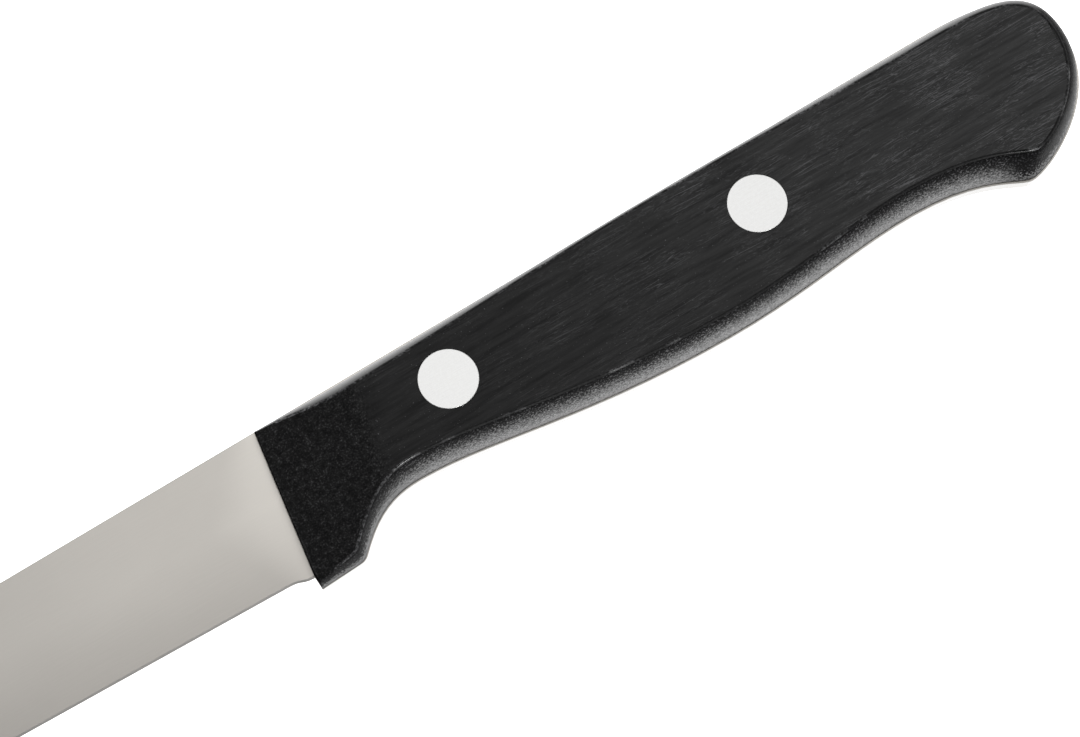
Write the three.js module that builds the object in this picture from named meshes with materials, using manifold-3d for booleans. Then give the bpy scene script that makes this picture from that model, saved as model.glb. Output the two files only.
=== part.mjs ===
// Peeling knife: a flat-ground steel blade with a full tang, two moulded handle scales
// and two pairs of cutlery rivet halves. Sizes are in millimetres, angles in degrees.
// X runs from the blade's tip to the butt, Y from the belly to the spine, Z is up.
// The knife lies on its side. While it is drawn, X = 0 is the front of the handle on the
// line through both rivets, Y = 0 is that line, and Z = 0 is the middle of the tang.
import * as THREE from 'three';
import { mergeVertices } from 'three/addons/utils/BufferGeometryUtils.js';
import Module from 'manifold-3d';

const wasm = await Module();
wasm.setup();

// Handle and tang
const HANDLE_LENGTH = 104;
const HANDLE_THICKNESS = 12;
const TANG_THICKNESS = 1.6;

// Spine: one straight line over blade and handle, given as heights above the rivet line
const SPINE_FRONT_HEIGHT = 6.95;
const SPINE_SHOULDER_HEIGHT = 8.87;
const SHOULDER_FROM_BUTT = 15;

// Front of the handle: it leans, and the beak below the blade is set back a little
const FRONT_LEAN_ANGLE = 7.3;
const HEEL_DEPTH = 10.69;
const BEAK_DROP = 1.71;
const BEAK_SETBACK = 0.3;
const BEAK_LAND = 5.75;
const BEAK_LAND_ANGLE = 3.8;
const BEAK_CORNER_LEG = 0.6;
const SWEEP_ANGLE = 46;

// Belly: depths below the rivet line at the places where the outline runs level
const WAIST_FROM_FRONT = 14.3;
const WAIST_DEPTH = 7.2;
const SWELL_FROM_FRONT = 52;
const SWELL_DEPTH = 10.7;
const NECK_FROM_BUTT = 26.65;
const NECK_DEPTH = 8.98;
const HOOK_FROM_BUTT = 12.7;
const HOOK_DEPTH = 12.3;
const BUTT_HEIGHT = 0.6;

// How far each curve keeps its direction at either end, as a share of its own span
const SWEEP_PULL = 0.35;
const WAIST_FRONT_PULL = 0.38;
const WAIST_REAR_PULL = 0.225;
const SWELL_FRONT_PULL = 0.477;
const SWELL_REAR_PULL = 0.426;
const NECK_FRONT_PULL = 0.32;
const NECK_REAR_PULL = 0.68;
const HOOK_FRONT_PULL = 0.118;
const HOOK_REAR_PULL = 0.2;
const BUTT_LOWER_PULL = 0.64;
const BUTT_UPPER_PULL = 0.82;
const SHOULDER_PULL = 0.74;

// Rim: how far the edge of the flat lies inside the joint between tang and scale
const RIM_AT_FRONT = 0.15;
const RIM_AT_SPINE_FRONT = 0.6;
const RIM_AT_SPINE_BREAK = 2.3;
const RIM_AT_SPINE_MIDDLE = 1.5;
const SPINE_MIDDLE_FROM_FRONT = 50;
const RIM_AT_SHOULDER = 2.1;
const RIM_AT_BUTT = 2.35;
const RIM_AT_HOOK = 1.85;
const RIM_SHIFT_AT_HOOK = 1;
const RIM_AT_NECK = 1.8;
const RIM_AT_SWELL = 1.55;
const RIM_AT_WAIST = 1.55;
const RIM_AT_SWEEP = 1;
const RIM_AT_BEAK = 0.6;

// Section of the rim, as shares of its width and of its height: it starts a little inside the
// tang, runs up steeply and then leans in. It keeps its slope longest on the belly.
const RIM_START_INWARD = 0.1;
const BELLY_BEND_INWARD = 0.66;
const BELLY_BEND_UPWARD = 0.9;
const SPINE_BEND_INWARD = 0.49;
const SPINE_BEND_UPWARD = 0.78;
const BUTT_BEND_INWARD = 0.33;
const BUTT_BEND_UPWARD = 0.78;

// Moulded front of each scale: a ramp from the blade up to the flat, with a soft break
const SCALE_FRONT_THICKNESS = 2;
const RAMP_LENGTH = 12;
const BREAK_LENGTH = 4.6;

// Blade: the spine drops and the edge dips to the tip. Both faces are ground flat up to the
// handle, and the edge is ground back a little, so that the heel stands lower than the edge.
const BLADE_LENGTH = 60;
const SPINE_DROP_LENGTH = 28;
const SPINE_DROP_PULL = 0.5;
const EDGE_RISE_ANGLE = 0.8;
const EDGE_DIP_LENGTH = 25;
const EDGE_DIP_PULL = 0.4;
const TIP_DROP = 0.65;
const TIP_SPINE_ANGLE = 66;
const TIP_SPINE_PULL = 0.3;
const TIP_EDGE_ANGLE = 9;
const TIP_EDGE_PULL = 0.35;
const HEEL_DROP = 0.5;
const HEEL_DROP_LENGTH = 2.8;
const HEEL_DROP_PULL = 0.5;
const GRIND_STEP = 0.05;
const GRIND_THICKNESS = 0.22;
const BEVEL_ANGLE = 18;
const EDGE_THICKNESS = 0.06;

// Rivets: a solid half from above is pressed into a tubular half from below
const FRONT_RIVET_FROM_FRONT = 21.95;
const RIVET_SPACING = 39.8;
const RIVET_HEAD_DIAMETER = 6.8;
const RIVET_HEAD_HEIGHT = 2.2;
const RIVET_HEAD_BREAK = 0.08;
const RIVET_PIN_DIAMETER = 3;
const RIVET_PIN_END_GAP = 0.4;
const RIVET_PIN_POINT = 0.5;
const RIVET_TUBE_WALL = 0.7;
const RIVET_TUBE_END_GAP = 0.3;
const HEAD_CLEARANCE = 0.05;
const TUBE_CLEARANCE = 0.15;
const PIN_CLEARANCE = 0.08;

// Fineness of the faceted surfaces
const ROUND_STEPS = 48;
const RIM_STEPS = 7;
const LAND_STEPS = 2;
const CORNER_STEPS = 4;
const SWEEP_STEPS = 10;
const SWELL_STEPS = 14;
const NECK_STEPS = 10;
const HOOK_STEPS = 10;
const BUTT_STEPS = 18;
const BLADE_CURVE_STEPS = 20;
const BLADE_STRAIGHT_STEPS = 4;
const HEEL_STEPS = 6;
const GRIND_SHARES = [0, 0.3, 0.6];
const GRIND_LEAST_SHARE = 0.8;

// Values that follow from the sizes above
const { lerp, smoothstep, degToRad } = THREE.MathUtils;
const point = (x, y) => new THREE.Vector2(x, y);
const slope = (angle) => Math.tan(degToRad(angle));
const TANG_TOP = TANG_THICKNESS / 2;
const HANDLE_TOP = HANDLE_THICKNESS / 2;
const SCALE_THICKNESS = HANDLE_TOP - TANG_TOP;
const HEAD_SEAT = HANDLE_TOP - RIVET_HEAD_HEIGHT;
const FRONT_LEAN = slope(FRONT_LEAN_ANGLE);
const SHOULDER_X = HANDLE_LENGTH - SHOULDER_FROM_BUTT;
const SPINE_SLOPE = (SPINE_SHOULDER_HEIGHT - SPINE_FRONT_HEIGHT) / SHOULDER_X;
const spineHeight = (x) => SPINE_FRONT_HEIGHT + SPINE_SLOPE * x;
const SPINE_FRONT_X = (FRONT_LEAN * SPINE_FRONT_HEIGHT) / (1 - FRONT_LEAN * SPINE_SLOPE);
const HEEL = point(-FRONT_LEAN * HEEL_DEPTH, -HEEL_DEPTH);
const BEAK_DEPTH = HEEL_DEPTH + BEAK_DROP;
const GRIND_TOP = GRIND_THICKNESS / 2;
const EDGE_TOP = EDGE_THICKNESS / 2;
const WEDGE_SLOPE = (TANG_TOP - GRIND_TOP) / (SPINE_FRONT_HEIGHT + HEEL_DEPTH);
const BEVEL_SLOPE = slope(BEVEL_ANGLE);
const BEVEL_HEIGHT = (GRIND_TOP - EDGE_TOP) / (BEVEL_SLOPE - WEDGE_SLOPE);
const BELLY_BEND = point(BELLY_BEND_INWARD, BELLY_BEND_UPWARD);
const SPINE_BEND = point(SPINE_BEND_INWARD, SPINE_BEND_UPWARD);
const BUTT_BEND = point(BUTT_BEND_INWARD, BUTT_BEND_UPWARD);
const HEAD_RADIUS = RIVET_HEAD_DIAMETER / 2;
const PIN_RADIUS = RIVET_PIN_DIAMETER / 2;
const TUBE_RADIUS = PIN_RADIUS + PIN_CLEARANCE + RIVET_TUBE_WALL;
const TUBE_HOLE_RADIUS = TUBE_RADIUS + TUBE_CLEARANCE;
const RIVETS = {
  front: FRONT_RIVET_FROM_FRONT,
  rear: FRONT_RIVET_FROM_FRONT + RIVET_SPACING,
};

// Outline of the handle. It has a belly side and a spine side with equal numbers of points,
// so that rungs across the handle can join them. rim is 0 on the joint between tang and
// scale, and 1 on the edge of the flat.

// A point on the way from one place to another, held level or upright
const level = (from, to, share) => point(lerp(from.x, to.x, share), from.y);
const upright = (from, to, share) => point(from.x, lerp(from.y, to.y, share));

// A curve that runs level at both ends
function levelCurve(start, startPull, end, endPull) {
  const leave = level(start, end, startPull);
  const arrive = level(end, start, endPull);
  return new THREE.CubicBezierCurve(start, leave, arrive, end);
}

// Chamfer, land and corner of the beak below the blade, and the sweep up to the waist
function beakCurves(waist, rim) {
  const tipX = BEAK_SETBACK - FRONT_LEAN * BEAK_DEPTH;
  const sweepTurn = degToRad(SWEEP_ANGLE);
  const heel = point(HEEL.x + rim * RIM_AT_FRONT, HEEL.y);
  const tip = point(tipX + rim * RIM_AT_FRONT, rim * RIM_AT_BEAK - BEAK_DEPTH);
  const corner = point(
    tipX + BEAK_LAND - rim * RIM_AT_SWEEP * Math.sin(sweepTurn),
    slope(BEAK_LAND_ANGLE) * BEAK_LAND - BEAK_DEPTH + rim * RIM_AT_SWEEP * Math.cos(sweepTurn),
  );
  const landEnd = corner.clone().lerp(tip, BEAK_CORNER_LEG / corner.distanceTo(tip));
  const sweepStart = point(
    corner.x + BEAK_CORNER_LEG * Math.cos(sweepTurn),
    corner.y + BEAK_CORNER_LEG * Math.sin(sweepTurn),
  );
  const sweepRun = SWEEP_PULL * (waist.x - sweepStart.x);
  const leave = point(sweepStart.x + sweepRun, sweepStart.y + sweepRun * slope(SWEEP_ANGLE));
  const arrive = level(waist, sweepStart, WAIST_FRONT_PULL);
  return [
    { curve: new THREE.LineCurve(heel, tip), steps: 1 },
    { curve: new THREE.LineCurve(tip, landEnd), steps: LAND_STEPS },
    { curve: new THREE.QuadraticBezierCurve(landEnd, corner, sweepStart), steps: CORNER_STEPS },
    { curve: new THREE.CubicBezierCurve(sweepStart, leave, arrive, waist), steps: SWEEP_STEPS },
  ];
}

const rearmost = (rim) => point(HANDLE_LENGTH - rim * RIM_AT_BUTT, BUTT_HEIGHT);

// Belly side, from the heel of the blade to the rearmost point of the butt
function bellySide(rim) {
  const waist = point(WAIST_FROM_FRONT, rim * RIM_AT_WAIST - WAIST_DEPTH);
  const swell = point(SWELL_FROM_FRONT, rim * RIM_AT_SWELL - SWELL_DEPTH);
  const neck = point(HANDLE_LENGTH - NECK_FROM_BUTT, rim * RIM_AT_NECK - NECK_DEPTH);
  const hookX = HANDLE_LENGTH - HOOK_FROM_BUTT + rim * RIM_SHIFT_AT_HOOK;
  const hook = point(hookX, rim * RIM_AT_HOOK - HOOK_DEPTH);
  const butt = rearmost(rim);
  const leaveHook = level(hook, butt, HOOK_REAR_PULL);
  const reachButt = upright(butt, hook, BUTT_LOWER_PULL);
  const curves = [
    ...beakCurves(waist, rim),
    { curve: levelCurve(waist, WAIST_REAR_PULL, swell, SWELL_FRONT_PULL), steps: SWELL_STEPS },
    { curve: levelCurve(swell, SWELL_REAR_PULL, neck, NECK_FRONT_PULL), steps: NECK_STEPS },
    { curve: levelCurve(neck, NECK_REAR_PULL, hook, HOOK_FRONT_PULL), steps: HOOK_STEPS },
    { curve: new THREE.CubicBezierCurve(hook, leaveHook, reachButt, butt), steps: BUTT_STEPS },
  ];
  const starts = curves.flatMap(({ curve, steps }) => curve.getPoints(steps).slice(0, steps));
  return [...starts, butt];
}

// The rim on the spine is widest at the end of the ramp and narrowest in the middle
function rimAlongSpine(x) {
  if (x < RAMP_LENGTH) {
    return lerp(RIM_AT_SPINE_FRONT, RIM_AT_SPINE_BREAK, smoothstep(x, 0, RAMP_LENGTH));
  }
  const toMiddle = smoothstep(x, RAMP_LENGTH, SPINE_MIDDLE_FROM_FRONT);
  const toShoulder = smoothstep(x, SPINE_MIDDLE_FROM_FRONT, SHOULDER_X);
  const middle = lerp(RIM_AT_SPINE_BREAK, RIM_AT_SPINE_MIDDLE, toMiddle);
  return lerp(middle, RIM_AT_SHOULDER, toShoulder);
}

// Spine side, from the front of the handle to the rearmost point of the butt
function spineSide(jointBelly, rim) {
  const rungs = jointBelly.slice(0, jointBelly.length - BUTT_STEPS);
  const firstX = rungs[0].x;
  const lastX = rungs.at(-1).x;
  const straight = rungs.map((rung, index) => {
    const x = lerp(SPINE_FRONT_X, SHOULDER_X, (rung.x - firstX) / (lastX - firstX));
    const setback = index === 0 ? rim * RIM_AT_FRONT : 0;
    return point(x + setback, spineHeight(x) - rim * rimAlongSpine(x));
  });
  const shoulder = straight.at(-1);
  const butt = rearmost(rim);
  const run = SHOULDER_PULL * (butt.x - shoulder.x);
  const leave = point(shoulder.x + run, shoulder.y + run * SPINE_SLOPE);
  const arrive = upright(butt, shoulder, BUTT_UPPER_PULL);
  const round = new THREE.CubicBezierCurve(shoulder, leave, arrive, butt);
  return [...straight, ...round.getPoints(BUTT_STEPS).slice(1)];
}

const JOINT_BELLY = bellySide(0);
const JOINT_SPINE = spineSide(JOINT_BELLY, 0);
const FLAT_BELLY = bellySide(1);
const FLAT_SPINE = spineSide(JOINT_BELLY, 1);

// Closed bodies

// Shared corners are merged, and triangles that shrink to a line are left out
function closedGeometry(geometry) {
  geometry.deleteAttribute('normal');
  geometry.deleteAttribute('uv');
  const merged = mergeVertices(geometry, 1e-4);
  const corners = Array.from(merged.index.array);
  const kept = [];
  for (let i = 0; i < corners.length; i += 3) {
    const triangle = corners.slice(i, i + 3);
    if (new Set(triangle).size === 3) {
      kept.push(...triangle);
    }
  }
  merged.setIndex(kept);
  return merged;
}

function geometryOf(triangles) {
  const corners = triangles.flat();
  const geometry = new THREE.BufferGeometry().setFromPoints(corners);
  geometry.setIndex(corners.map((_, index) => index));
  return closedGeometry(geometry);
}

function addQuad(triangles, a, b, c, d) {
  triangles.push([a, b, c], [a, c, d]);
}

// A profile of [radius, height] pairs that starts and ends on the axis, turned about Z
function turned(x, profile) {
  const points = profile.map(([radius, height]) => point(radius, height));
  const geometry = new THREE.LatheGeometry(points, ROUND_STEPS);
  geometry.rotateX(Math.PI / 2);
  geometry.translate(x, 0, 0);
  return closedGeometry(geometry);
}

function solidOf(geometry) {
  const vertProperties = new Float32Array(geometry.attributes.position.array);
  const triVerts = new Uint32Array(geometry.index.array);
  return new wasm.Manifold(new wasm.Mesh({ numProp: 3, vertProperties, triVerts }));
}

// Both rivet bores are cut through a piece
function boredThrough(geometry, boreProfile) {
  let solid = solidOf(geometry);
  for (const x of Object.values(RIVETS)) {
    solid = solid.subtract(solidOf(turned(x, boreProfile)));
  }
  const mesh = solid.getMesh();
  const bored = new THREE.BufferGeometry();
  bored.setAttribute('position', new THREE.BufferAttribute(mesh.vertProperties, 3));
  bored.setIndex(new THREE.BufferAttribute(mesh.triVerts, 1));
  return bored;
}

// Handle scales

// Thickness of a scale over the distance from the front: ramp, soft break, flat
function scaleThickness(x) {
  const ramp = (at) => lerp(SCALE_FRONT_THICKNESS, SCALE_THICKNESS, at / RAMP_LENGTH);
  const breakStart = RAMP_LENGTH - BREAK_LENGTH / 2;
  if (x < breakStart) {
    return ramp(Math.max(x, 0));
  }
  const toFlat = Math.max(1 - (x - breakStart) / BREAK_LENGTH, 0);
  return SCALE_THICKNESS - toFlat ** 2 * (SCALE_THICKNESS - ramp(breakStart));
}

// A place on the rim's section, at a share of the way from the joint to the flat
function rimSection(bend, share) {
  const start = point(RIM_START_INWARD, 0);
  return new THREE.QuadraticBezierCurve(start, bend, point(1, 1)).getPoint(share);
}

// One ring of the rim: between the joint and the flat, at its height above the tang. The
// sections of belly and spine turn into one another over the round of the butt.
function rimRing(share, side) {
  const last = JOINT_BELLY.length - 1;
  const lift = (joint, flat, bend) => joint.map((p, i) => {
    const towardsButt = smoothstep(i, last - BUTT_STEPS, last);
    const at = rimSection(bend.clone().lerp(BUTT_BEND, towardsButt), share);
    const place = p.clone().lerp(flat[i], at.x);
    const thickness = scaleThickness((JOINT_BELLY[i].x + JOINT_SPINE[i].x) / 2);
    return new THREE.Vector3(place.x, place.y, side * (TANG_TOP + at.y * thickness));
  });
  return {
    belly: lift(JOINT_BELLY, FLAT_BELLY, BELLY_BEND),
    spine: lift(JOINT_SPINE, FLAT_SPINE, SPINE_BEND),
  };
}

// The scale is lofted from ring to ring and closed by rungs across both ends.
// side is 1 for the scale above the tang and -1 for the one below.
function scaleGeometry(side) {
  const rings = Array.from({ length: RIM_STEPS + 1 }, (_, step) => rimRing(step / RIM_STEPS, side));
  const triangles = [];
  const cap = ({ belly, spine }, up) => {
    for (let i = 0; i + 1 < belly.length; i += 1) {
      const around = [belly[i], belly[i + 1], spine[i + 1], spine[i]];
      addQuad(triangles, ...(up ? around : around.reverse()));
    }
  };
  const loops = rings.map(({ belly, spine }) => [...belly, ...spine.slice(0, -1).reverse()]);
  for (let ring = 0; ring < RIM_STEPS; ring += 1) {
    const [lower, upper] = side > 0 ? [loops[ring], loops[ring + 1]] : [loops[ring + 1], loops[ring]];
    lower.forEach((from, i) => {
      const next = (i + 1) % lower.length;
      addQuad(triangles, from, lower[next], upper[next], upper[i]);
    });
  }
  cap(rings[0], side < 0);
  cap(rings[RIM_STEPS], side > 0);
  return geometryOf(triangles);
}

// Stepped bore from the tang out through the flat: tube first, then the seat of the head
function scaleBore(side) {
  const head = HEAD_RADIUS + HEAD_CLEARANCE;
  const profile = [
    [0, 0],
    [TUBE_HOLE_RADIUS, 0],
    [TUBE_HOLE_RADIUS, HEAD_SEAT],
    [head, HEAD_SEAT],
    [head, HANDLE_THICKNESS],
    [0, HANDLE_THICKNESS],
  ];
  return side > 0 ? profile : profile.map(([radius, height]) => [radius, -height]).reverse();
}

// Blade and tang

// Rungs of the blade from the tip to the heel, each from the spine to the edge
function bladeRungs() {
  const edgeEnd = point(HEEL.x, HEEL.y + HEEL_DROP);
  const tip = point(-BLADE_LENGTH, edgeEnd.y - TIP_DROP);
  const dropX = SPINE_DROP_LENGTH - BLADE_LENGTH;
  const drop = point(dropX, spineHeight(dropX));
  const dipX = EDGE_DIP_LENGTH - BLADE_LENGTH;
  const dip = point(dipX, edgeEnd.y + (edgeEnd.x - dipX) * slope(EDGE_RISE_ANGLE));
  const front = point(SPINE_FRONT_X, spineHeight(SPINE_FRONT_X));
  const tipRise = TIP_SPINE_PULL * (drop.y - tip.y);
  const tipRun = TIP_EDGE_PULL * EDGE_DIP_LENGTH;
  const dropRun = SPINE_DROP_PULL * SPINE_DROP_LENGTH;
  const dipRun = EDGE_DIP_PULL * EDGE_DIP_LENGTH;
  const spineCurve = new THREE.CubicBezierCurve(
    tip,
    point(tip.x + tipRise / slope(TIP_SPINE_ANGLE), tip.y + tipRise),
    point(drop.x - dropRun, drop.y - dropRun * SPINE_SLOPE),
    drop,
  );
  const edgeCurve = new THREE.CubicBezierCurve(
    tip,
    point(tip.x + tipRun, tip.y + tipRun * slope(TIP_EDGE_ANGLE)),
    point(dip.x - dipRun, dip.y + dipRun * slope(EDGE_RISE_ANGLE)),
    dip,
  );
  const before = (start, end, distance) => end.clone().lerp(start, distance / end.distanceTo(start));
  const spineTurn = before(drop, front, HEEL_DROP_LENGTH);
  const edgeTurn = before(dip, edgeEnd, HEEL_DROP_LENGTH);
  const spineLast = before(drop, front, GRIND_STEP);
  const edgeLast = point(HEEL.x - GRIND_STEP, HEEL.y);
  const heelCurve = levelCurve(edgeTurn, HEEL_DROP_PULL, edgeLast, HEEL_DROP_PULL);
  const spine = [
    ...spineCurve.getPoints(BLADE_CURVE_STEPS),
    ...new THREE.LineCurve(drop, spineTurn).getPoints(BLADE_STRAIGHT_STEPS).slice(1),
    ...new THREE.LineCurve(spineTurn, spineLast).getPoints(HEEL_STEPS).slice(1),
  ];
  const edge = [
    ...edgeCurve.getPoints(BLADE_CURVE_STEPS),
    ...new THREE.LineCurve(dip, edgeTurn).getPoints(BLADE_STRAIGHT_STEPS).slice(1),
    ...heelCurve.getPoints(HEEL_STEPS).slice(1),
  ];
  return spine.map((p, i) => ({ spine: p, edge: edge[i], ground: true }));
}

const tangRungs = () => JOINT_SPINE.map((p, i) => ({ spine: p, edge: JOINT_BELLY[i], ground: false }));

// Half the thickness of the ground steel: a flat wedge, and the bevel that ends it at the edge
function groundHalf(aboveEdge) {
  const wedge = Math.min(GRIND_TOP + WEDGE_SLOPE * aboveEdge, TANG_TOP);
  return Math.min(wedge, EDGE_TOP + BEVEL_SLOPE * aboveEdge);
}

// Places across a rung: the face of the grind, the top of the bevel and the edge
function steelRow({ spine, edge, ground }) {
  const height = spine.distanceTo(edge);
  const bevelPart = Math.min(BEVEL_HEIGHT, (1 - GRIND_LEAST_SHARE) * height);
  const bevelShare = height > 0 ? 1 - bevelPart / height : 1;
  return [...GRIND_SHARES, bevelShare, 1].map((share) => {
    const place = spine.clone().lerp(edge, share);
    const half = ground ? groundHalf((1 - share) * height) : TANG_TOP;
    return [1, -1].map((side) => new THREE.Vector3(place.x, place.y, side * half));
  });
}

// Two faces of rungs, closed along the spine, the edge and the belly
function steelGeometry() {
  const rows = [...bladeRungs(), ...tangRungs()].map(steelRow);
  const last = GRIND_SHARES.length + 1;
  const triangles = [];
  for (let r = 0; r + 1 < rows.length; r += 1) {
    const [here, next] = [rows[r], rows[r + 1]];
    for (let j = 0; j < last; j += 1) {
      addQuad(triangles, here[j][0], here[j + 1][0], next[j + 1][0], next[j][0]);
      addQuad(triangles, next[j][1], next[j + 1][1], here[j + 1][1], here[j][1]);
    }
    addQuad(triangles, here[0][0], next[0][0], next[0][1], here[0][1]);
    addQuad(triangles, here[last][1], next[last][1], next[last][0], here[last][0]);
  }
  return geometryOf(triangles);
}

function tangBore() {
  return [
    [0, -TANG_THICKNESS],
    [TUBE_HOLE_RADIUS, -TANG_THICKNESS],
    [TUBE_HOLE_RADIUS, TANG_THICKNESS],
    [0, TANG_THICKNESS],
  ];
}

// Rivets

// Solid half: flush head on the upper scale, with a pin down through the tube
function pinHalf(x) {
  const pinEnd = RIVET_PIN_END_GAP - HEAD_SEAT;
  return turned(x, [
    [0, pinEnd],
    [PIN_RADIUS - RIVET_PIN_POINT, pinEnd],
    [PIN_RADIUS, pinEnd + RIVET_PIN_POINT],
    [PIN_RADIUS, HEAD_SEAT],
    [HEAD_RADIUS, HEAD_SEAT],
    [HEAD_RADIUS, HANDLE_TOP - RIVET_HEAD_BREAK],
    [HEAD_RADIUS - RIVET_HEAD_BREAK, HANDLE_TOP],
    [0, HANDLE_TOP],
  ]);
}

// Tubular half: flush head on the lower scale, with a tube up to the head of the other half
function tubeHalf(x) {
  const bore = PIN_RADIUS + PIN_CLEARANCE;
  const tubeEnd = HEAD_SEAT - RIVET_TUBE_END_GAP;
  return turned(x, [
    [0, -HANDLE_TOP],
    [HEAD_RADIUS - RIVET_HEAD_BREAK, -HANDLE_TOP],
    [HEAD_RADIUS, RIVET_HEAD_BREAK - HANDLE_TOP],
    [HEAD_RADIUS, -HEAD_SEAT],
    [TUBE_RADIUS, -HEAD_SEAT],
    [TUBE_RADIUS, tubeEnd],
    [bore, tubeEnd],
    [bore, -HEAD_SEAT],
    [0, -HEAD_SEAT],
  ]);
}

// Assembly

const steel = { color: 0xc9c6c0, roughness: 0.3, metalness: 1 };
const blackPlastic = { color: 0x1c1c1d, roughness: 0.55, metalness: 0 };
const aluminium = { color: 0xe4e4e2, roughness: 0.35, metalness: 1 };

const knife = new THREE.Group();

function addPiece(name, geometry, finish) {
  const piece = new THREE.Mesh(geometry, new THREE.MeshStandardMaterial(finish));
  piece.name = name;
  geometry.computeVertexNormals();
  knife.add(piece);
}

addPiece('blade_with_tang', boredThrough(steelGeometry(), tangBore()), steel);
addPiece('upper_scale', boredThrough(scaleGeometry(1), scaleBore(1)), blackPlastic);
addPiece('lower_scale', boredThrough(scaleGeometry(-1), scaleBore(-1)), blackPlastic);
for (const [place, x] of Object.entries(RIVETS)) {
  addPiece(`${place}_rivet_pin_half`, pinHalf(x), aluminium);
  addPiece(`${place}_rivet_tube_half`, tubeHalf(x), aluminium);
}

// The origin is under the middle of the knife, on the surface that it lies on
const box = new THREE.Box3().setFromObject(knife);
const middle = box.getCenter(new THREE.Vector3());
knife.position.set(-middle.x, -middle.y, -box.min.z);

export default knife;
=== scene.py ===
# %% [markdown]
# # A peeling knife
# The knife is a ground steel blade with a full tang, two moulded black scales and two rivets,
# each pressed together from two halves. The exact solids come from a CAD frame, at their real
# size and in their real place. They could be rendered as they are, but their edges are razor
# sharp and their surfaces bare. This lesson dresses them: it softens the edges that a tool or a
# mould leaves soft, gives each surface its finish, and sets up the light and the camera. Each
# new piece stands for one solid, so the knife keeps its size.

# %% Load the solids
import math

import bmesh
import bpy
from mathutils import Matrix, Vector
from mathutils.bvhtree import BVHTree


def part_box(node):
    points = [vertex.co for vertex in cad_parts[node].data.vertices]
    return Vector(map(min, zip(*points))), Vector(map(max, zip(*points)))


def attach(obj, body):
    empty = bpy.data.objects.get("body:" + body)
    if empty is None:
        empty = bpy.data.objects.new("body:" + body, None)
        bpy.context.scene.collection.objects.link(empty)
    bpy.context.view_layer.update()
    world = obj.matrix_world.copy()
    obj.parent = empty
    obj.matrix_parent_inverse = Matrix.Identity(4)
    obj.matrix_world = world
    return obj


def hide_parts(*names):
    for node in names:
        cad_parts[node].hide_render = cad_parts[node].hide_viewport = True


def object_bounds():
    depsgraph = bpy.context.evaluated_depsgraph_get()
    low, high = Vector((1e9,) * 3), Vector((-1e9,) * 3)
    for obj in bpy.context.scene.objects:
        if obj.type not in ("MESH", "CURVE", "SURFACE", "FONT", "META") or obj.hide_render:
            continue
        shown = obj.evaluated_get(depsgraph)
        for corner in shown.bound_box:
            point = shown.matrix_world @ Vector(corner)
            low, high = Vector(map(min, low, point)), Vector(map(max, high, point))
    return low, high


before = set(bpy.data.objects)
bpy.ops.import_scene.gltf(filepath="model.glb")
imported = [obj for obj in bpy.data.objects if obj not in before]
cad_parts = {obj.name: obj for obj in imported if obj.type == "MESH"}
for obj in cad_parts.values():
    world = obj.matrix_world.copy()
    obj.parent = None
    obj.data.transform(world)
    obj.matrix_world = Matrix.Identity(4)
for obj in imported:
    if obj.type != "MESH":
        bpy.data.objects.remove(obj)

MM = 0.001
cad_low, cad_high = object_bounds()
print("CAD box in mm:", [round(side / MM, 2) for side in cad_high - cad_low])

# %% [markdown]
# ## Places on the knife
# A maker measures a handle from its rivets, because they stay put when it is ground to shape.
# Numbers typed in by hand would do, but they go wrong as soon as a solid changes. So everything
# below is placed from the front rivet's axis and the middle of the tang, and both are read from
# the frame.

# %% Read the rivets and the tang
RIVETS = ("front", "rear")


def middle_of(node):
    low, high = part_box(node)
    return (low + high) / 2


rivet_axis = {place: middle_of(f"{place}_rivet_pin_half").xy for place in RIVETS}
FRONT_RIVET = rivet_axis["front"]
tang_low, tang_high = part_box("blade_with_tang")
TANG_MIDDLE = (tang_low.z + tang_high.z) / 2
TANG_HALF = (tang_high.z - tang_low.z) / 2
rivet_spacing = (rivet_axis["rear"] - FRONT_RIVET).length
print("Rivet spacing in mm:", round(rivet_spacing / MM, 2))
print("Tang thickness in mm:", round(2 * TANG_HALF / MM, 2))

# %% [markdown]
# ## The view
# The picture is a product shot from almost straight above. The knife lies across it, turned by
# about thirty degrees, and the camera leans a little towards the belly of the handle. Euler
# angles could describe that, but they are hard to check. Here the camera's three axes are built
# from the two angles, one vector at a time.

# %% Work out the camera's axes
PICTURE_TURN = math.radians(30.6)
CAMERA_TILT = math.radians(15.5)
AIM_BEHIND_RIVET = 10.09 * MM
AIM_BELOW_RIVET = 2.69 * MM

aim = Vector((FRONT_RIVET.x + AIM_BEHIND_RIVET, FRONT_RIVET.y - AIM_BELOW_RIVET, TANG_MIDDLE))
picture_right = Vector((math.cos(PICTURE_TURN), -math.sin(PICTURE_TURN), 0))
table_up = Vector((math.sin(PICTURE_TURN), math.cos(PICTURE_TURN), 0))
towards_camera = Vector((0, 0, math.cos(CAMERA_TILT))) - math.sin(CAMERA_TILT) * table_up
picture_up = towards_camera.cross(picture_right)
print("The camera aims at, in mm:", [round(value / MM, 1) for value in aim])

# %% [markdown]
# ## The camera
# A product shot is taken with a long lens, which keeps the two rivets nearly equal in size. A
# camera without any perspective would show them exactly alike, and a short lens would swell the
# nearer end. So the lens is long and the camera stands well back, as a photographer would.

# %% Set up the camera
LENS = 105
SENSOR_WIDTH = 36
CAMERA_DISTANCE = 352 * MM
NEAREST_SHOWN = 10 * MM


def new_object(name, data):
    """An object in the scene that shows some data, such as a mesh or a camera."""
    made = bpy.data.objects.new(name, data)
    bpy.context.scene.collection.objects.link(made)
    return made


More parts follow.
